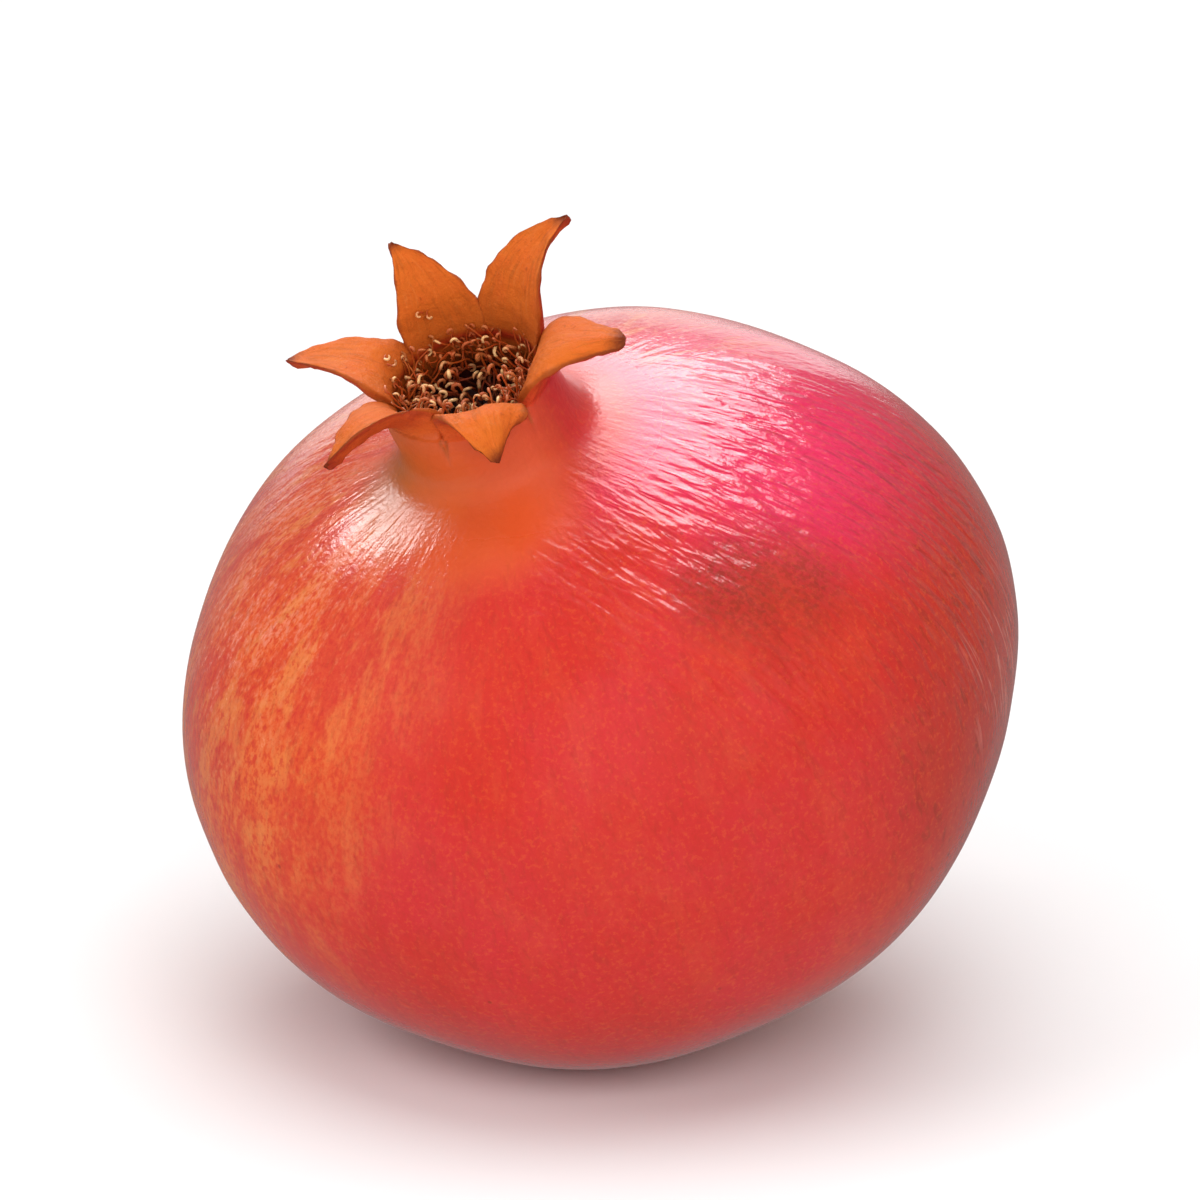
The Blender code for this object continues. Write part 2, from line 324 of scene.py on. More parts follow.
def fruit_matrix(sizes):
    """From the fruit's own frame, axis up and widest ring at zero, to where it lies."""
    support = sqrt((sizes.body_radius * sin(sizes.lean)) ** 2 + (sizes.lower_height * cos(sizes.lean)) ** 2)
    spread = sizes.body_radius**2 - sizes.lower_height**2
    forward = spread * sin(sizes.lean) * cos(sizes.lean) / support
    place = Matrix.Translation((0.0, forward, support - sizes.flat_depth))
    return place @ Matrix.Rotation(sizes.lean, 4, "X")


def crown_shift(crown, height):
    """How far the neck has grown to one side of the axis at this height."""
    share = smooth_step(crown.offset_start, crown.rim_height, height)
    return Vector((cos(crown.offset_azimuth), sin(crown.offset_azimuth), 0.0)) * crown.offset * share


def rim_centre(crown):
    return crown_shift(crown, crown.rim_height) + Vector((0.0, 0.0, crown.rim_height))


# ---------------------------------------------------------------- modelling by hand


def deselect_all():
    if bpy.context.mode != "OBJECT":
        bpy.ops.object.mode_set(mode="OBJECT")
    bpy.ops.object.select_all(action="DESELECT")


def begin_edit(piece):
    bpy.context.view_layer.objects.active = piece
    piece.select_set(True)
    bpy.ops.object.mode_set(mode="EDIT")
    bpy.ops.mesh.select_mode(type="VERT")
    bpy.ops.mesh.select_all(action="DESELECT")
    return bmesh.from_edit_mesh(piece.data)


def pick(edit, wanted, kind="verts"):
    """Selects just the vertices or faces that the test wants."""
    bpy.ops.mesh.select_mode(type="VERT" if kind == "verts" else "FACE")
    bpy.ops.mesh.select_all(action="DESELECT")
    for item in getattr(edit, kind):
        if wanted(item):
            item.select_set(True)
    if kind == "verts":
        edit.select_flush(True)
    else:
        edit.select_flush_mode()


def apply_modifiers(piece):
    for modifier in list(piece.modifiers):
        bpy.ops.object.modifier_apply(modifier=modifier.name)


def finish_piece(piece, name, material, nodes, place):
    """Puts a finished piece's place into its mesh, and ties it to the frame."""
    piece.name = piece.data.name = name
    piece.data.transform(place @ piece.matrix_world)
    piece.matrix_world = Matrix.Identity(4)
    piece.data.materials.clear()
    piece.data.materials.append(material)
    bpy.ops.object.shade_smooth()
    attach(piece, "root")
    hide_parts(*nodes)


# ---------------------------------------------------------------- body and neck


def model_body(sizes, crown):
    """A ball pressed to the fruit's two half heights, opened at the top and drawn up into the neck."""
    first_notch = radians(SEPALS[0]["azimuth"]) - SECTOR / 2
    bpy.ops.mesh.primitive_uv_sphere_add(segments=COLUMNS, ring_count=BODY_RINGS, radius=sizes.body_radius,
                                         rotation=(0.0, 0.0, first_notch))
    piece = bpy.context.active_object
    bpy.ops.object.transform_apply(location=False, rotation=True, scale=False)
    edit = begin_edit(piece)
    tiny = sizes.body_radius * 1e-4
    for half, height in ((1, sizes.upper_height), (-1, sizes.lower_height)):
        pick(edit, lambda vertex, half=half: vertex.co.z * half > tiny)
        squash = (1.0, 1.0, height / sizes.body_radius)
        bpy.ops.transform.resize(value=squash, center_override=(0.0, 0.0, 0.0))

    foot_height = sizes.upper_height * cos(NECK_FOOT_ANGLE)
    pick(edit, lambda vertex: vertex.co.z > foot_height + tiny)
    bpy.ops.mesh.delete(type="VERT")
    edit = bmesh.from_edit_mesh(piece.data)
    for edge in edit.edges:
        edge.select_set(edge.is_boundary)
    edit.select_flush(True)
    ring = [vertex for vertex in edit.verts if vertex.select]
    radius, height = ring[0].co.xy.length, ring[0].co.z

    rows = []
    for row in range(1, NECK_ROWS + 1):
        along = row / NECK_ROWS
        flare = (radius - crown.neck_radius) * (1.0 - along) ** crown.neck_power
        rows.append((crown.neck_radius + flare, height + (crown.rim_height - height) * along))
    rim, inner = crown.rim_height, crown.neck_radius - crown.rim_wall
    floor = rim - crown.cup_depth
    rows += [(inner - inwards, rim - down) for inwards, down in CUP_WALL]
    rows += [(inner - inwards, floor + up) for inwards, up in CUP_FLOOR]
    for next_radius, next_height in rows:
        rise = (0.0, 0.0, next_height - height)
        bpy.ops.mesh.extrude_region_move(TRANSFORM_OT_translate={"value": rise})
        factor = next_radius / radius
        bpy.ops.transform.resize(value=(factor, factor, 1.0), center_override=(0.0, 0.0, next_height))
        radius, height = next_radius, next_height
    bpy.ops.mesh.extrude_region_move()
    bpy.ops.mesh.merge(type="CENTER")
    return piece


def shift_crown(piece, crown):
    """Leans the neck and the cup to one side of the axis."""
    edit = bmesh.from_edit_mesh(piece.data)
    inner = crown.neck_radius - crown.rim_wall / 2
    for vertex in edit.verts:
        in_cup = vertex.co.z > 0.0 and vertex.co.xy.length < inner
        vertex.co += crown_shift(crown, crown.rim_height if in_cup else vertex.co.z)
    bmesh.update_edit_mesh(piece.data)


# ---------------------------------------------------------------- sepals


def sepal_width_share(share, blunt):
    """Full near the foot, then tapering to a drawn-out point or a blunt end."""
    pointed = (1.0 - share**1.45) ** 0.98
    rounded = (1.0 - share**3.0) ** 0.62 * (1.0 - 0.22 * share)
    foot = 0.84 + 0.16 * smooth_step(0.02, 0.26, share)
    return (pointed + (rounded - pointed) * blunt) * foot + 0.02


def sepal_point(sepal, crown, share, across, outside):
    """A point of a sepal, from the rim's centre: across runs from -1 to 1, outside is 1 or -1."""
    middle = crown.neck_radius - crown.rim_wall / 2
    bends = ((middle, 0.0), (middle, sepal["arch"]), (sepal["bow"], sepal["shoulder"]),
             (sepal["reach"], sepal["rise"]))
    a, b, c, d = (Vector(bend) for bend in bends)
    rest = 1.0 - share
    point = a * rest**3 + b * 3 * rest**2 * share + c * 3 * rest * share**2 + d * share**3
    ahead = (b - a) * rest**2 + (c - b) * 2 * rest * share + (d - c) * share**2
    ahead.normalize()

    azimuth = radians(sepal["azimuth"] + sepal["swing"] * share**2)
    outward = Vector((cos(azimuth), sin(azimuth), 0.0))
    sideways = Vector((-sin(azimuth), cos(azimuth), 0.0))
    along = outward * ahead.x + Vector((0.0, 0.0, ahead.y))
    inner_side = Vector((0.0, 0.0, ahead.x)) - outward * ahead.y
    turn = Matrix.Rotation(radians(sepal["twist"]) * share**1.5, 3, along)
    sideways, inner_side = turn @ sideways, turn @ inner_side

    cup = 0.0013 * rest**2.5 + 0.0002
    curl = sepal["left_curl"] if across > 0.0 else sepal["right_curl"]
    lift = cup * across**2 + curl * abs(across) ** 2.2 * sin(pi * (0.06 + 0.80 * share)) ** 0.8
    half = sepal["width"] / 2 * sepal_width_share(share, sepal["blunt"])
    thinning = 0.62 * smooth_step(0.04, 0.36, share)
    wall = crown.sepal_thickness * (1.0 - 0.45 * share) * (1.0 - thinning * abs(across) ** 3)
    sheet = outward * point.x + Vector((0.0, 0.0, point.y))
    sheet += sideways * across * half + inner_side * (lift - outside * wall / 2)

    ring_azimuth = radians(sepal["azimuth"]) + across * SECTOR / 2
    ring_radius = middle + outside * crown.rim_wall / 2
    ring = Vector((cos(ring_azimuth) * ring_radius, sin(ring_azimuth) * ring_radius, point.y))
    return ring.lerp(sheet, smooth_step(0.0, 0.09, share))


def grow_sepal(piece, sepal, crown, centre):
    """Draws one sixth of the rim out into a sepal, row by row."""
    edit = bmesh.from_edit_mesh(piece.data)
    shares = edit.verts.layers.float["sepal_share"]
    edges = edit.verts.layers.float["sepal_edge"]
    inners = edit.verts.layers.float["inner_side"]
    middle = crown.neck_radius - crown.rim_wall / 2
    tiny = crown.rim_wall * 0.1

    def in_sector(face):
        spot = face.calc_center_median() - centre
        turn = half_turn(atan2(spot.y, spot.x) - radians(sepal["azimuth"]))
        on_rim = abs(spot.z) < tiny and abs(spot.xy.length - middle) < crown.rim_wall / 2
        return on_rim and abs(turn) < SECTOR / 2

    pick(edit, in_sector, "faces")
    for vertex in edit.verts:
        if vertex.select:
            spot = vertex.co - centre
            turn = half_turn(atan2(spot.y, spot.x) - radians(sepal["azimuth"]))
            vertex[edges] = turn / (SECTOR / 2)
            vertex[inners] = 1.0 if spot.xy.length < middle else -1.0
    for row in range(1, SEPAL_ROWS + 1):
        bpy.ops.mesh.extrude_region_move()
        edit = bmesh.from_edit_mesh(piece.data)
        share = (row / SEPAL_ROWS) ** 1.25
        for vertex in edit.verts:
            if vertex.select:
                vertex[shares] = share
                point = sepal_point(sepal, crown, share, vertex[edges], -vertex[inners])
                vertex.co = centre + point
    bmesh.update_edit_mesh(piece.data)


def add_layers(piece):
    edit = bmesh.from_edit_mesh(piece.data)
    for name in ("sepal_share", "sepal_edge", "inner_side"):
        edit.verts.layers.float.new(name)
    bmesh.update_edit_mesh(piece.data)


# ---------------------------------------------------------------- the grown surface


def sepal_unevenness(spot, share, edge):
    """How far a point of a sepal has grown out of true."""
    fine = bumps(spot, 240.0, 0.00018) + bumps(spot, 700.0, 0.00010, (3, 1, 4))
    ragged = smooth_step(0.50, 1.0, share) * bumps(spot, 900.0, 0.00036, (7, 7, 7))
    frill = smooth_step(0.80, 1.0, abs(edge)) * bumps(spot, 600.0, 0.00034, (9, 2, 5))
    return fine * smooth_step(0.0, 0.2, share) + ragged + frill


def rind_unevenness(spot, ripple):
    """How far a point of the rind has grown out of true: six faint lobes, slow ripples and finer ones."""
    if spot.z > 0.0 and spot.xy.length <= 0.004:
        return 0.0
    girth = smooth_step(0.012, 0.040, spot.xy.length)
    lobes = 0.00030 * cos(6.0 * atan2(spot.y, spot.x) + 0.6) * girth
    slow = bumps(spot, 34.0, ripple * 1.6, (1.5, 0.2, 4.0))
    return lobes + slow + bumps(spot, 120.0, ripple * 0.22)


def split_share(spot, from_rim, crown):
    """1 in the neck's dry splits, and 0 away from them."""
    if from_rim.xy.length <= crown.neck_radius * 0.93 or from_rim.z <= SPLIT_END:
        return 0.0
    turn = atan2(from_rim.y, from_rim.x)
    nearest = min(abs(half_turn(turn - radians(split))) for split in NECK_SPLITS) * crown.neck_radius
    bent = nearest + bumps(spot, 500.0, 0.0005)
    return exp(-((bent / SPLIT_WIDTH) ** 2)) * smooth_step(SPLIT_END, SPLIT_START, from_rim.z)


def weather(piece, sizes, crown):
    """Gives the turned shape the unevenness it grew with, and notes on it where the neck has split."""
    mesh = piece.data
    split_mark = mesh.attributes.new("neck_split", "FLOAT", "POINT")
    shares = mesh.attributes["sepal_share"].data
    edges = mesh.attributes["sepal_edge"].data
    centre = rim_centre(crown)
    moves = []
    for vertex in mesh.vertices:
        share, spot = shares[vertex.index].value, vertex.co
        if share > 0.001:
            moves.append(vertex.normal * sepal_unevenness(spot, share, edges[vertex.index].value))
            continue
        split = split_share(spot, spot - centre, crown)
        split_mark.data[vertex.index].value = split
        moves.append(vertex.normal * (rind_unevenness(spot, sizes.ripple) - SPLIT_DEPTH * split))
    for vertex, move in zip(mesh.vertices, moves):
        vertex.co += move


def dimple_stalk_end(piece, sizes):
    """Sinks and puckers the rind round the stalk."""
    for vertex in piece.data.vertices:
        radius = vertex.co.xy.length
        if vertex.co.z < 0.0 and radius < 0.5 * sizes.body_radius:
            folds = cos(9.0 * atan2(vertex.co.y, vertex.co.x))
            pucker = 0.00022 * folds * exp(-((radius / 0.007 - 1.0) ** 2) * 3)
            vertex.co.z += 0.0028 * exp(-((radius / 0.0090) ** 2)) + pucker


def press_flat(piece):
    """The fruit's weight flattens the rind against the floor."""
    for vertex in piece.data.vertices:
        if vertex.co.z < FLAT_REACH:
            vertex.co.z = (vertex.co.z + sqrt(vertex.co.z**2 + 4 * FLAT_SOFTNESS**2)) / 2
    lowest = min(vertex.co.z for vertex in piece.data.vertices)
    for vertex in piece.data.vertices:
        if vertex.co.z < FLAT_EASING:
            vertex.co.z -= lowest * (1.0 - vertex.co.z / FLAT_EASING)


class POMEGRANATE_OT_fruit(bpy.types.Operator):
    """Grow the rind, the neck, the cup and the six sepals as one piece"""

    bl_idname = "pomegranate.fruit"
    bl_label = "Fruit"

    def execute(self, context):
        sizes, crown = context.scene.pomegranate_fruit, context.scene.pomegranate_crown
        deselect_all()
        piece = model_body(sizes, crown)
        add_layers(piece)
        shift_crown(piece, crown)
        for sepal in SEPALS:
            grow_sepal(piece, sepal, crown, rim_centre(crown))
        bpy.ops.object.mode_set(mode="OBJECT")
        smoother = piece.modifiers.new("Smoother", "SUBSURF")
        smoother.levels = smoother.render_levels = 1
        apply_modifiers(piece)
        weather(piece, sizes, crown)
        dimple_stalk_end(piece, sizes)
        place = fruit_matrix(sizes)
        finish_piece(piece, "pomegranate_rind", rind_finish(context.scene), ["fruit"], place)
        press_flat(piece)
        return {"FINISHED"}


# ---------------------------------------------------------------- stamens


def model_stamen(stamens, draw, name, pale, length):
    """One dried filament and its curled anther: a small disc drawn out step by step, turning as it goes."""
    bpy.ops.mesh.primitive_circle_add(vertices=FILAMENT_SIDES, radius=stamens.radius, fill_type="NGON")
    piece = bpy.context.active_object
    piece.name = name
    edit = begin_edit(piece)
    edit.verts.layers.float.new("anther")
    bpy.ops.mesh.select_mode(type="FACE")
    bpy.ops.mesh.select_all(action="SELECT")
    stride = length * draw.uniform(0.70, 1.15) / FILAMENT_STEPS
    bend, sway = draw.uniform(-0.16, 0.02), draw.uniform(-0.10, 0.10)
    curl = draw.choice((-1.0, 1.0)) * draw.uniform(0.55, 0.95)
    heading, tip = Vector((0.0, 0.0, 1.0)), Vector((0.0, 0.0, 0.0))
    for step in range(FILAMENT_STEPS + len(ANTHER_SWELLS)):
        in_anther = step >= FILAMENT_STEPS
        ahead = heading * (stamens.anther if in_anther else stride)
        bpy.ops.mesh.extrude_region_move(TRANSFORM_OT_translate={"value": ahead})
        tip = tip + ahead
        turns = {"Y": bend + draw.uniform(-0.42, 0.42), "X": sway + draw.uniform(-0.42, 0.42)}
        if in_anther:
            turns = {"Y": curl, "X": 0.16}
            swell = ANTHER_SWELLS[step - FILAMENT_STEPS]
            bpy.ops.transform.resize(value=(swell, swell, swell), center_override=tip)
        for axis, turn in turns.items():
            bpy.ops.transform.rotate(value=-turn, orient_axis=axis, center_override=tip)
        edit = bmesh.from_edit_mesh(piece.data)
        anthers = edit.verts.layers.float["anther"]
        for vertex in edit.verts:
            if vertex.select:
                vertex[anthers] = pale if in_anther else 0.0
        heading = next(face for face in edit.faces if face.select).normal.copy()
    bpy.ops.mesh.select_all(action="SELECT")
    bpy.ops.mesh.normals_make_consistent(inside=False)
    bpy.ops.object.mode_set(mode="OBJECT")
    return piece


def copy_to(piece, place):
    copy = piece.copy()
    copy.data = piece.data.copy()
    copy.data.transform(place)
    bpy.context.scene.collection.objects.link(copy)
    return copy


def cup_wall(crown):
    """The cup's inside radius, less a little room."""
    return crown.neck_radius - crown.rim_wall - CUP_CLEARANCE


def stamen_place(crown, draw, number, count):
    """Where one stamen of the tuft starts on the cup's wall, and which way it leans."""
    azimuth = number * pi * (3.0 - sqrt(5.0)) + draw.uniform(-0.15, 0.15)
    tier = (number + 0.5) / count
    depth = 0.0006 + 0.0080 * tier + draw.uniform(-0.0005, 0.0005)
    radius = cup_wall(crown) - 0.0050 * smooth_step(0.60, 1.0, tier)
    start = Vector((cos(azimuth) * radius, sin(azimuth) * radius, -depth))
    tilt = draw.uniform(0.10, 1.25) * (1.0 - 0.55 * tier)
    turn = Matrix.Rotation(azimuth + pi + draw.uniform(-1.3, 1.3), 4, "Z") @ Matrix.Rotation(tilt, 4, "Y")
    spin = Matrix.Rotation(draw.uniform(-0.7, 0.7), 4, "Z")
    size = Matrix.Scale(draw.uniform(0.80, 1.12) * (0.70 + 0.40 * tier), 4)
    return Matrix.Translation(start) @ turn @ spin @ size


def fallen_place(sepal, crown, share, across, turn):
    """A spot on a sepal's inner face, with the third axis lying along the face."""
    step = 0.02
    spot = sepal_point(sepal, crown, share, across, -1)
    along = (sepal_point(sepal, crown, share + step, across, -1) - spot).normalized()
    side = (sepal_point(sepal, crown, share, across + step, -1) - spot).normalized()
    up = along.cross(side)
    if up.z < 0.0:
        up = -up
    lying = (along * cos(turn) + side * sin(turn)).normalized()
    axes = Matrix((lying.cross(up), up, lying)).transposed().to_4x4()
    return Matrix.Translation(spot + up * FALLEN_CLEARANCE) @ axes @ Matrix.Scale(FALLEN_SCALE, 4)


def keep_in_cup(piece, crown):
    """Presses stray filaments back inside the cup's wall and above its floor."""
    wall = cup_wall(crown)
    for vertex in piece.data.vertices:
        limit = wall + 0.0010 * smooth_step(0.0, 0.003, vertex.co.z)
        radius = vertex.co.xy.length
        if radius > limit:
            vertex.co.xy *= limit / radius
        vertex.co.z = max(vertex.co.z, CUP_CLEARANCE - crown.cup_depth)


class POMEGRANATE_OT_stamens(bpy.types.Operator):
    """Fill the cup with its tuft of dried stamens"""

    bl_idname = "pomegranate.stamens"
    bl_label = "Stamens"

    def execute(self, context):
        sizes, crown = context.scene.pomegranate_fruit, context.scene.pomegranate_crown
        stamens = context.scene.pomegranate_stamens
        draw = random.Random(11)
        deselect_all()
        kinds = []
        for number in range(stamens.kinds):
            deselect_all()
            pale = 1.0 if number % 4 == 0 else 0.15
            kinds.append(model_stamen(stamens, draw, f"stamen_kind_{number}", pale, stamens.length))
        copies = []
        for number in range(stamens.number):
            copies.append(copy_to(draw.choice(kinds), stamen_place(crown, draw, number, stamens.number)))
        deselect_all()
        for kind in kinds:
            bpy.data.objects.remove(kind)
        for copy in copies:
            copy.select_set(True)
        piece = copies[0]
        context.view_layer.objects.active = piece
        bpy.ops.object.join()
        keep_in_cup(piece, crown)
        self.scatter_fallen(context, piece, stamens, crown)
        place = fruit_matrix(sizes) @ Matrix.Translation(rim_centre(crown))
        finish_piece(piece, "stamen_tuft", stamen_finish(context.scene), STAMEN_NODES, place)
        return {"FINISHED"}

    def scatter_fallen(self, context, piece, stamens, crown):
        """Drops a few loose anthers on the sepals, as part of the tuft."""
        draw = random.Random(5)
        deselect_all()
        fallen = model_stamen(stamens, draw, "fallen_anther", 1.0, FALLEN_LENGTH)
        copies = []
        for number, share, across, turn in FALLEN:
            copies.append(copy_to(fallen, fallen_place(SEPALS[number], crown, share, across, turn)))
        bpy.data.objects.remove(fallen)
        deselect_all()
        for copy in (*copies, piece):
            copy.select_set(True)
        context.view_layer.objects.active = piece
        bpy.ops.object.join()


# ---------------------------------------------------------------- stalk


class POMEGRANATE_OT_stalk(bpy.types.Operator):
    """Model the woody stub that is left of the stalk"""

    bl_idname = "pomegranate.stalk"
    bl_label = "Stalk stub"

    def execute(self, context):
        sizes = context.scene.pomegranate_fruit
        deselect_all()
        top = -sizes.lower_height + STUB_SUNK
        bpy.ops.mesh.primitive_cylinder_add(vertices=28, radius=STUB_RADIUS, depth=STUB_LENGTH,
                                            location=(0.0, 0.0, top - STUB_LENGTH / 2))
        piece = context.active_object
        bpy.ops.object.transform_apply(location=True, rotation=False, scale=False)
        edit = begin_edit(piece)
        lowest = min(vertex.co.z for vertex in edit.verts)
        pick(edit, lambda face: face.calc_center_median().z < lowest + 1e-5, "faces")
        for width, depth in STUB_RINGS:
            bpy.ops.mesh.inset(thickness=STUB_RADIUS * width, depth=depth)
        bpy.ops.mesh.poke()
        pick(edit, lambda face: abs(face.normal.z) < 0.5, "faces")
        bpy.ops.mesh.subdivide(number_cuts=5)
        bpy.ops.object.mode_set(mode="OBJECT")
        smoother = piece.modifiers.new("Smoother", "SUBSURF")
        smoother.levels = smoother.render_levels = 2
        apply_modifiers(piece)
        for vertex in piece.data.vertices:
            azimuth = atan2(vertex.co.y, vertex.co.x)
            flare = 1.0 + 0.10 * smooth_step(top - STUB_LENGTH, top, vertex.co.z)
            ridges = 1.0 + 0.035 * cos(7.0 * azimuth) + bumps(vertex.co, 900.0, 0.05)
            vertex.co.xy *= flare * ridges
            vertex.co.z += bumps(vertex.co, 1300.0, 0.00016, (2, 2, 2))
        place = fruit_matrix(sizes)
        finish_piece(piece, "stalk_end", stub_finish(context.scene), ["stalk_stub"], place)
        return {"FINISHED"}


# ---------------------------------------------------------------- finishes


class Value:
    """A socket that can stand in a sum, so that a finish's maths reads as an expression."""

    def __init__(self, finish, socket):
        self.finish = finish
        self.socket = socket

    def maths(self, operation, *terms):
        return self.finish.node("ShaderNodeMath", {"operation": operation}, dict(enumerate(terms)))

    def __add__(self, other):
        return self.maths("ADD", self, other)

    __radd__ = __add__

    def __sub__(self, other):
        return self.maths("SUBTRACT", self, other)

    def __rsub__(self, other):
        return self.maths("SUBTRACT", other, self)

    def __mul__(self, other):
        return self.maths("MULTIPLY", self, other)

    __rmul__ = __mul__

    def __truediv__(self, other):
        return self.maths("DIVIDE", self, other)

    def __pow__(self, other):
        return self.maths("POWER", self, other)

    def __abs__(self):
        return self.maths("ABSOLUTE", self)

    def greater(self, other):
        return self.maths("MAXIMUM", self, other)

    def between(self, low, high):
        """0 below low and 1 above high, with a smooth rise."""
        inputs = {"Value": self, "From Min": low, "From Max": high}
        return self.finish.node("ShaderNodeMapRange", {"interpolation_type": "SMOOTHSTEP"}, inputs)


class Finish:
    """A material, and the one way its nodes are made."""

    def __init__(self, name):
        self.material = bpy.data.materials.new(name)
        self.material.use_nodes = True
        self.tree = self.material.node_tree
        self.tree.nodes.clear()

    def node(self, kind, settings=None, inputs=None, output=0):
        made = self.tree.nodes.new(kind)
        for name, value in (settings or {}).items():
            setattr(made, name, value)
        for name, value in (inputs or {}).items():
            if isinstance(value, Value):
                self.tree.links.new(value.socket, made.inputs[name])
            else:
                made.inputs[name].default_value = value
        return Value(self, made.outputs[output]) if made.outputs else None

    def object_place(self):
        return self.node("ShaderNodeTexCoord", output="Object")

    def fruit_place(self, sizes):
        """Places in the fruit's own frame, axis up and widest ring at zero."""
        lie = fruit_matrix(sizes)
        inputs = {"Vector": self.object_place(), "Location": lie.to_translation(),
                  "Rotation": lie.to_euler()}
        return self.node("ShaderNodeMapping", {"vector_type": "TEXTURE"}, inputs)

    def attribute(self, name):
        return self.node("ShaderNodeAttribute", {"attribute_name": name}, output="Fac")

    def parts(self, vector):
        split = self.node("ShaderNodeSeparateXYZ", inputs={"Vector": vector})
        outputs = split.socket.node.outputs
        return [Value(self, outputs[axis]) for axis in "XYZ"]

    def vector(self, x, y, z):
        return self.node("ShaderNodeCombineXYZ", inputs={"X": x, "Y": y, "Z": z})

    def noise(self, place, scale, detail=3.0, roughness=0.5, distortion=0.0):
        inputs = {"Vector": place, "Scale": scale, "Detail": detail, "Roughness": roughness,
                  "Distortion": distortion}
        return self.node("ShaderNodeTexNoise", inputs=inputs)

    def cells(self, place, scale, randomness=1.0):
        inputs = {"Vector": place, "Scale": scale, "Randomness": randomness}
        return self.node("ShaderNodeTexVoronoi", {"feature": "F1"}, inputs, "Distance")

    def mix(self, share, first, second):
        inputs = {0: share, 6: colour_of(first), 7: colour_of(second)}
        return self.node("ShaderNodeMix", {"data_type": "RGBA"}, inputs, 2)

    def bump(self, height, distance, strength=1.0):
        inputs = {"Height": height, "Distance": distance, "Strength": strength}
        return self.node("ShaderNodeBump", inputs=inputs)

    def surface(self, inputs, share=None, others=None):
        """Ends the material with one principled shader, or with two and the share of the second."""
        shader = self.node("ShaderNodeBsdfPrincipled", inputs=inputs)
        if others:
            second = self.node("ShaderNodeBsdfPrincipled", inputs=others)
            shader = self.node("ShaderNodeMixShader", inputs={0: share, 1: shader, 2: second})
        self.node("ShaderNodeOutputMaterial", inputs={"Surface": shader})
        return self.material


def colour_of(value):
    return value if isinstance(value, Value) else (*value, 1.0)


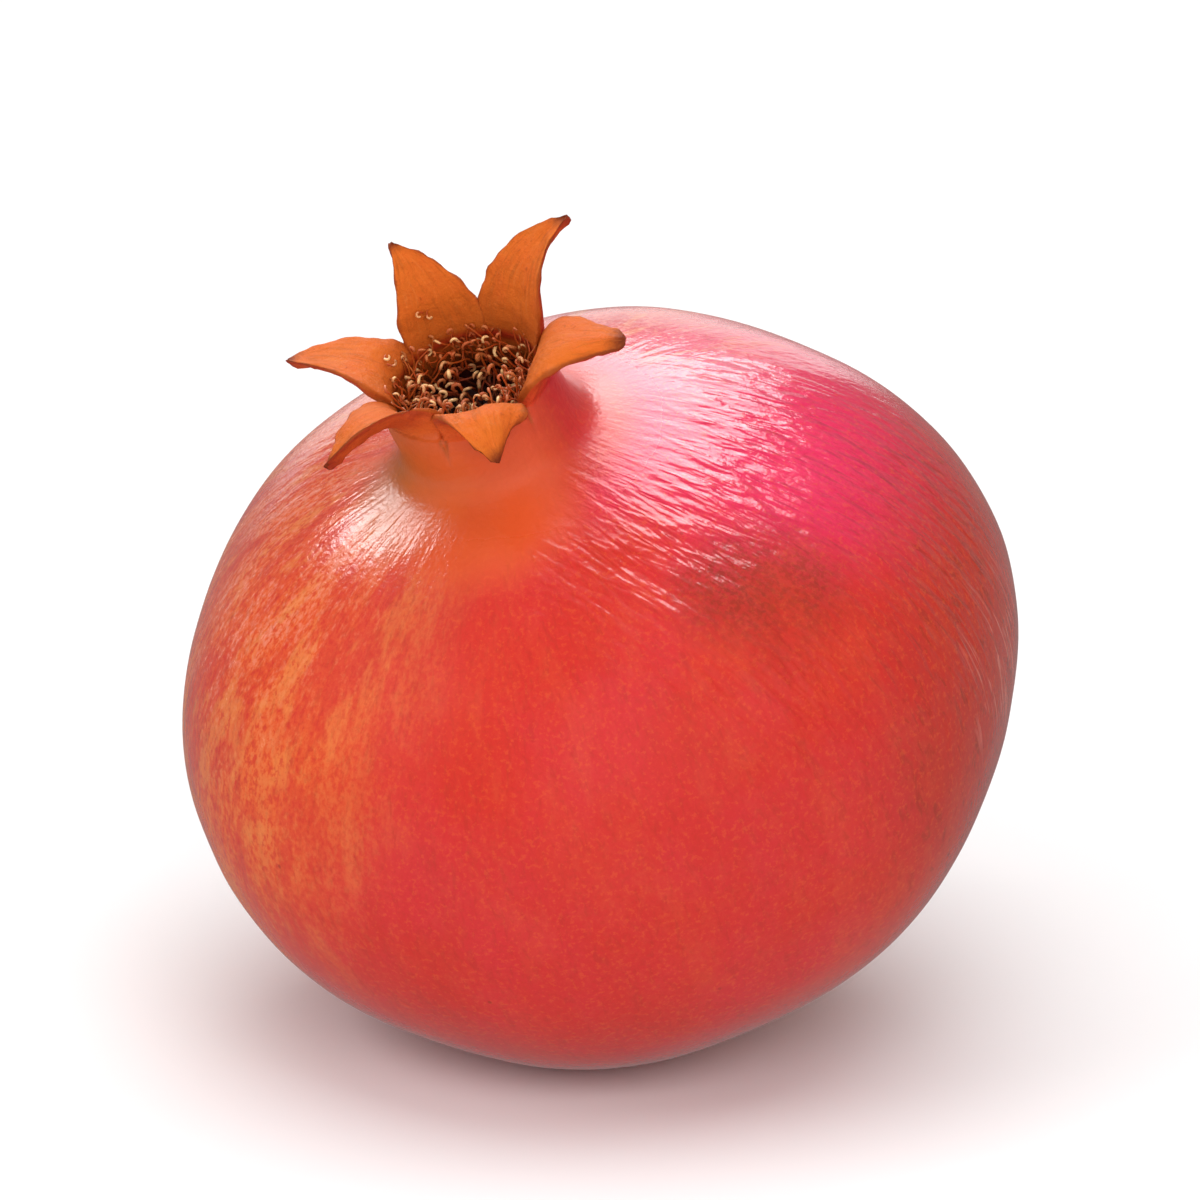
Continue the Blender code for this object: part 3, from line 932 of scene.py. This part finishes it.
class RindFinish(Finish):
    """The rind's material, coat by coat, with the places and the patterns that its coats share."""

    def __init__(self, scene):
        super().__init__("pomegranate_rind")
        self.colours = scene.pomegranate_colours
        self.rim = rim_centre(scene.pomegranate_crown)
        self.own = self.fruit_place(scene.pomegranate_fruit)
        self.way = self.node("ShaderNodeVectorMath", {"operation": "NORMALIZE"}, {0: self.own})
        self.x, self.y, self.z = self.parts(self.own)
        self.radius = (self.x * self.x + self.y * self.y) ** 0.5 + 0.0005
        self.polar = self.radius.maths("ARCTAN2", self.radius, self.z)
        self.share = self.attribute("sepal_share")
        self.blot = self.noise(self.own, 60.0, 4.0, 0.6)
        self.cloud = self.noise(self.own, 260.0, 4.0, 0.6)
        self.worn = self.noise(self.own, 900.0, 4.0, 0.7)
        self.patch = self.noise(self.grain(9.0, 18.0), 1.0, 4.0, 0.62)
        self.streak = self.noise(self.grain(1.9, 4.5), 1.0, 4.0, 0.60, 0.5)
        self.areas = {name: self.area(*numbers) for name, numbers in RIND_AREAS.items()}

    def grain(self, width, length):
        """Places along the meridians: features this wide at the widest ring, and this long, in mm."""
        turn, stretch = RIND_RADIUS / width, RIND_MERIDIAN / length
        return self.vector(self.x / self.radius * turn, self.y / self.radius * turn, self.polar * stretch)

    def area(self, azimuth, polar, reach, soft, uneven):
        """1 within reach of a direction of the fruit's own frame, fading over soft degrees."""
        aim = direction(azimuth, 90.0 - polar)
        dot = self.node("ShaderNodeVectorMath", {"operation": "DOT_PRODUCT"}, {0: self.way, 1: aim}, "Value")
        waver = (self.blot - 0.5) * (0.16 * uneven)
        return (dot + waver).between(cos(radians(reach + soft)), cos(radians(max(reach - soft, 0.0))))

    def coat(self, share, colour):
        """Lays a colour over what is there, as far as the share says."""
        self.colour = self.mix(share, self.colour, colour)

    def ground(self):
        """Red with slow bands, orange in the west, magenta on the shoulder and brick in the east."""
        colours, areas = self.colours, self.areas
        blush = (self.blot - 0.5).between(-0.12, 0.20) * 0.10
        self.colour = self.mix(blush, colours.red, colours.magenta)
        band = self.noise(self.grain(17.0, 40.0), 1.0, 3.0, 0.60, 0.4)
        self.coat(band.between(0.50, 0.70) * 0.30, colours.brick)
        self.coat((1.0 - band.between(0.30, 0.48)) * 0.10, colours.orange)
        self.coat(areas["west"] * (0.35 + 0.65 * self.patch.between(0.36, 0.56)), colours.orange)
        self.coat(areas["front"] * 0.06, colours.orange)
        self.coat(areas["shoulder"] * 0.85 * self.radius.between(0.0120, 0.0170), colours.magenta)
        self.coat(areas["east"] * 0.75, colours.brick)

    def speckles(self):
        """Pale speckles where the rind is pale, whitish round the left highlight and at the top as a painted
        highlight, red ones between them, and grit all over.
        """
        colours, west, top = self.colours, self.areas["west"], self.areas["top"]
        off_neck = self.radius.between(0.0150, 0.0230)
        speckle = self.noise(self.grain(0.85, 0.95), 1.0, 3.0, 0.66, 0.2)
        cover = (west.greater(top * 0.9) * 0.90 + 0.08) * off_neck
        pale = (speckle * 0.50 + self.streak * 0.25 + self.patch * 0.30).between(0.50, 0.63)
        self.pale_share = pale * cover
        # Partly a painted highlight: the speckles turn whitish pale only round the left highlight and at the
        # top, and yellow elsewhere.
        high = self.areas["high"].greater(top)
        self.coat(self.pale_share * 0.55, self.mix(high, colours.yellow, colours.pale))
        yellow = self.noise(self.grain(5.0, 10.0), 1.0, 4.0, 0.6).between(0.52, 0.66) * cover
        self.coat(yellow * 0.60, colours.yellow)
        red = 1.0 - (speckle * 0.7 + self.streak * 0.3).between(0.38, 0.50)
        self.coat(red * (0.15 + 0.55 * west) * off_neck, colours.red)
        deep = self.noise(self.grain(1.0, 2.6), 1.0, 4.0, 0.65, 0.6).between(0.52, 0.68)
        self.coat(deep * (0.16 + 0.40 * self.areas["east"]), colours.brown)
        grit = self.noise(self.own, 1500.0, 3.0, 0.7)
        self.coat((grit - 0.5).between(0.02, 0.16) * 0.26, colours.orange)
        self.coat((0.5 - grit).between(0.04, 0.16) * 0.22, colours.brick)

    def marks(self):
        """The foot of the neck, olive in part and painted shade in part, a darker brown patch, small dots,
        the paler stalk end and a rubbed place.
        """
        colours, areas = self.colours, self.areas
        # Partly the neck foot's own olive tint, partly painted shade beside the neck.
        self.coat(areas["neck_left"] * 0.90, colours.olive_and_shade)
        self.coat(areas["neck_front"] * 0.75, colours.orange)
        spots = self.noise(self.own, 1300.0, 3.0, 0.7).between(0.44, 0.60)
        # A darker brown patch with spots.
        self.coat(areas["scuff"] * (spots * 0.35 + 0.34), colours.brown)
        dots = 1.0 - self.cells(self.own, 260.0).between(0.04, 0.09)
        dots = dots * self.noise(self.own, 90.0, 2.0).between(0.56, 0.68)
        self.coat(dots * 0.60, colours.brown)
        uneven = (self.streak * 0.5 + self.patch * 0.5 - 0.5) * 0.016
        stalk_end = 1.0 - (self.z + uneven).between(-0.0415, -0.0310)
        self.coat(stalk_end * (0.15 + 0.45 * self.patch.between(0.38, 0.60)), colours.yellow)
        scratches = self.noise(self.grain(1.0, 10.0), 1.0, 2.0, 0.55, 1.2).between(0.56, 0.66)
        self.coat(scratches * areas["rubbed"] * 0.40, colours.pale)

    def sepals(self):
        """Leather: along the sepals, at their edges and on the side that faces the cup, with painted shade
        at the feet of that side and on the sepals' outer side.
        """
        colours, share, cloud, worn = self.colours, self.share, self.cloud, self.worn
        across = self.attribute("sepal_edge")
        inner = self.attribute("inner_side").between(-0.3, 0.3)
        leather = self.mix((cloud - 0.5).between(-0.15, 0.20) * 0.35, colours.sepal, colours.orange)
        thread = self.vector(across * 7.0 + cloud * 2.0, share * 3.0, self.x * 160.0)
        fibres = self.noise(thread, 1.0, 4.0, 0.62)
        leather = self.mix(fibres.between(0.50, 0.66) * 0.55, leather, colours.dark_brown_and_shade)
        leather = self.mix((1.0 - fibres.between(0.32, 0.46)) * 0.30, leather, colours.yellow)
        # Painted shade: the sepals' inner sides are darkened at their feet, where they rise out of the cup.
        slow_cloud = self.noise(self.own, 150.0, 3.0, 0.6)
        foot_shade = (1.0 - (share + (slow_cloud - 0.5) * 0.40).between(0.0, 0.40)) * inner
        leather = self.mix(foot_shade * 0.85, leather, colours.dark_brown_and_shade)
        dry_tip = (share + (worn - 0.5) * 0.14).between(0.86, 0.99)
        dry_edge = (abs(across) + (worn - 0.5) * 0.10).between(0.89, 1.0) * (0.32 + share * 0.65)
        leather = self.mix(dry_edge.greater(dry_tip) * 0.88, leather, colours.sepal_tip)
        fleck = (worn * 0.6 + cloud * 0.4).between(0.58, 0.64) * 0.34
        leather = self.mix(fleck, leather, colours.brown)
        scale = (worn * 0.5 + fibres * 0.5).between(0.57, 0.63) * 0.28 * (1.0 - inner * 0.3)
        leather = self.mix(scale, leather, colours.yellow)
        # Painted shade: the sepals' outer sides, which face down and away, are painted brick red.
        under = (1.0 - inner) * share.between(0.08, 0.30)
        leather = self.mix(under * 0.62, leather, colours.brick)
        reach = share + (cloud - 0.5) * 0.03
        self.coat(reach.between(0.0, 0.42 - inner * 0.34), leather)

    def cup(self):
        """Painted shade in the cup, dark brown on its wall and near black deep down, and the dry splits
        under the notches.
        """
        colours, above = self.colours, self.z - self.rim.z
        ends = {0: self.vector(self.x, self.y, 0.0), 1: (self.rim.x, self.rim.y, 0.0)}
        from_axis = self.node("ShaderNodeVectorMath", {"operation": "DISTANCE"}, ends, "Value")
        # Painted shade: within the cup's wall and below the rim, dark brown, then near black deeper down.
        in_cup = (1.0 - from_axis.between(0.0092, 0.0098)) * self.z.between(0.030, 0.034)
        in_cup = in_cup * (1.0 - above.between(-0.0012, 0.0010))
        self.coat(in_cup, colours.dark_brown_and_shade)
        self.coat((1.0 - above.between(-0.0050, 0.0004)) * in_cup, colours.cup)
        self.coat(self.attribute("neck_split").between(0.10, 0.90) * 0.65, colours.dark_brown_and_shade)

    def fold(self, width, length, shift, detail, distortion):
        """Folds that fan out over the sunny shoulder, this wide and this long, in mm."""
        aside = self.y * cos(FAN_AZIMUTH) - self.x * sin(FAN_AZIMUTH)
        fan = aside / (self.radius / 0.030) ** 0.45 * 1000.0
        spot = self.vector(fan / width, self.polar * RIND_MERIDIAN / length, shift)
        return self.noise(spot, 1.0, detail, 0.50, distortion)

    def relief(self):
        """Folds on the sunny shoulder, fine wrinkles elsewhere, pores, and the sepals' leathery grain."""
        sunny, west, shoulder = (self.areas[name] for name in ("sunny", "west", "shoulder"))
        folds = self.fold(2.1, 9.0, 0.0, 2.0, 0.5) * 0.60 + self.fold(1.1, 5.0, 7.0, 1.0, 0.4) * 0.34
        folds = folds * sunny * (0.20 + self.radius.between(0.0140, 0.0280)) * 1.05
        coarse = self.noise(self.grain(3.6, 9.0), 1.0, 2.0, 0.50, 0.7)
        fine = self.noise(self.grain(2.1, 5.5), 1.0, 1.0, 0.50, 0.6)
        plain = (coarse * 0.70 + fine * 0.60) * (0.03 + 0.14 * shoulder + 0.11 * west)
        wrinkles = folds + plain * (1.0 - sunny) * self.radius.between(0.0125, 0.0200)
        pores = self.noise(self.own, 1500.0, 2.0, 0.5)
        on_body = 1.0 - self.share.between(0.0, 0.08)
        leather = self.cloud * 0.25 + self.worn * 0.28
        return (wrinkles + pores * 0.06) * on_body + leather * (1.0 - on_body)


def rind_finish(scene):
    """Waxy mottled rind that turns to leathery orange on the sepals, and to shadow in the cup."""
    finish = RindFinish(scene)
    finish.ground()
    finish.speckles()
    finish.marks()
    finish.sepals()
    finish.cup()
    rough = 0.33 - finish.radius.between(0.0140, 0.0220) * 0.12 + (finish.blot - 0.5) * 0.10
    shared = {"Base Color": finish.colour, "Normal": finish.bump(finish.relief(), 0.00110), "IOR": 1.45}
    waxy = {**shared, "Roughness": rough + finish.pale_share * 0.06, "Specular IOR Level": 0.5}
    leathery = {**shared, "Roughness": 0.70, "Specular IOR Level": 0.14}
    return finish.surface(waxy, finish.share.between(0.0, 0.12), leathery)


def stamen_finish(scene):
    """Dry brown filaments and pale glossy anthers, with painted shade darkening them towards the cup's
    floor.
    """
    colours = scene.pomegranate_colours
    finish = Finish("dried_stamens")
    place = finish.object_place()
    anther = finish.attribute("anther")
    cloud = finish.noise(place, 380.0, 3.0, 0.6)
    filament = finish.mix(cloud.between(0.42, 0.62), colours.filament, colours.dark_brown_and_shade)
    browned = finish.noise(place, 900.0, 2.0).between(0.40, 0.62) * 0.6
    colour = finish.mix(anther, filament, finish.mix(browned, colours.anther, colours.filament))
    # Painted shade: the deeper a filament lies in the cup, the darker it is painted.
    height = finish.parts(finish.fruit_place(scene.pomegranate_fruit))[2]
    depth = scene.pomegranate_crown.rim_height - height
    colour = finish.mix(depth.between(0.0005, 0.0060) * 0.85, colour, colours.cup)
    normal = finish.bump(finish.noise(place, 4200.0, 2.0), 0.00008, 0.6)
    return finish.surface({"Base Color": colour, "Roughness": 0.58 - anther * 0.26, "Normal": normal,
                           "Specular IOR Level": 0.5})


def stub_finish(scene):
    """Weathered bark, and a paler cut face with its rings."""
    colours = scene.pomegranate_colours
    finish = Finish("stalk_wood")
    x, y, z = finish.parts(finish.fruit_place(scene.pomegranate_fruit))
    radius = (x * x + y * y) ** 0.5
    bark = finish.noise(finish.vector(x * 3.0, y * 3.0, z), 900.0, 4.0, 0.65)
    colour = finish.mix(bark.between(0.35, 0.65), colours.stub, colours.brown)
    cut = (1.0 - z.between(-0.0424, -0.0418)) * (1.0 - radius.between(0.0021, 0.0026))
    waves = radius * 9000.0 + bark * 3.0
    rings = waves.maths("SINE", waves) * 0.5 + 0.5
    colour = finish.mix(cut, colour, finish.mix(rings * 0.5, colours.stub_cut, colours.stub))
    normal = finish.bump(bark, 0.0003, 0.8)
    return finish.surface({"Base Color": colour, "Roughness": 0.85, "Normal": normal})


# ---------------------------------------------------------------- stage


def look_at(place, target):
    return (target - place).to_track_quat("-Z", "Y").to_euler()


def add_light(name, place, target, size, radiance, highlight):
    """A soft light that either lights the scene or shows as a highlight, so each is set alone."""
    light = bpy.data.lights.new(name, "AREA")
    light.shape = "RECTANGLE"
    light.size, light.size_y = size
    light.energy = radiance * pi * size[0] * size[1]
    lamp = bpy.data.objects.new(name, light)
    lamp.location = place
    lamp.rotation_euler = look_at(place, target)
    lamp.visible_diffuse = not highlight
    lamp.visible_glossy = highlight
    bpy.context.scene.collection.objects.link(lamp)


class POMEGRANATE_OT_stage(bpy.types.Operator):
    """Set the pale floor, the soft lights and the camera"""

    bl_idname = "pomegranate.stage"
    bl_label = "Stage"

    def execute(self, context):
        scene, stage = context.scene, context.scene.pomegranate_stage
        low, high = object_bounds()
        middle = (low + high) / 2
        deselect_all()
        bpy.ops.mesh.primitive_plane_add(size=12.0, location=(0.0, 0.0, 0.0))
        floor = context.active_object
        floor.name = "studio_floor"
        finish = Finish("studio_floor")
        paper = finish.surface({"Base Color": (*stage.floor_colour, 1.0), "Roughness": 0.9,
                                "Specular IOR Level": 0.1})
        floor.data.materials.append(paper)
        floor.visible_glossy = False
        floor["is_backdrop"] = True

        scene.world = bpy.data.worlds.new("studio")
        scene.world.use_nodes = True
        backdrop = scene.world.node_tree.nodes["Background"]
        backdrop.inputs["Color"].default_value = (1.0, 1.0, 1.0, 1.0)
        backdrop.inputs["Strength"].default_value = 0.30
        scene.view_settings.view_transform = "Standard"

        for name, azimuth, elevation, distance, size, strength, highlight in LIGHTS:
            place = middle + direction(azimuth, elevation) * distance
            add_light(name, place, middle, size, strength, highlight)

        back = Vector((sin(stage.azimuth) * cos(stage.elevation), -cos(stage.azimuth) * cos(stage.elevation),
                       sin(stage.elevation)))
        camera = bpy.data.cameras.new("camera")
        camera.lens = stage.lens
        camera.clip_start, camera.clip_end = 0.01, 30.0
        viewer = bpy.data.objects.new("camera", camera)
        viewer.location = middle + back * stage.distance
        viewer.rotation_euler = look_at(viewer.location, middle)
        scene.collection.objects.link(viewer)
        scene.camera = viewer
        return {"FINISHED"}


# ---------------------------------------------------------------- add-on


class POMEGRANATE_PT_panel(bpy.types.Panel):
    """The pomegranate's sizes, colours and steps"""

    bl_label = "Pomegranate"
    bl_idname = "POMEGRANATE_PT_panel"
    bl_space_type = "VIEW_3D"
    bl_region_type = "UI"
    bl_category = "Pomegranate"

    def draw(self, context):
        for name, group in GROUPS.items():
            box = self.layout.box()
            box.label(text=group.bl_rna.name)
            for key in group.__annotations__:
                box.prop(getattr(context.scene, name), key)
        for step in STEPS:
            self.layout.operator(step.bl_idname)


GROUPS = {
    "pomegranate_fruit": FruitSizes,
    "pomegranate_crown": CrownSizes,
    "pomegranate_stamens": StamenSizes,
    "pomegranate_colours": Colours,
    "pomegranate_stage": StageSettings,
}
STEPS = (POMEGRANATE_OT_fruit, POMEGRANATE_OT_stamens, POMEGRANATE_OT_stalk, POMEGRANATE_OT_stage)


def register():
    for kind in (*GROUPS.values(), *STEPS, POMEGRANATE_PT_panel):
        bpy.utils.register_class(kind)
    for name, group in GROUPS.items():
        setattr(bpy.types.Scene, name, PointerProperty(type=group))


def unregister():
    for name in GROUPS:
        delattr(bpy.types.Scene, name)
    for kind in reversed((*GROUPS.values(), *STEPS, POMEGRANATE_PT_panel)):
        bpy.utils.unregister_class(kind)


def main():
    register()
    bpy.ops.pomegranate.fruit()
    bpy.ops.pomegranate.stamens()
    bpy.ops.pomegranate.stalk()
    bpy.ops.pomegranate.stage()


if __name__ == "__main__":
    main()
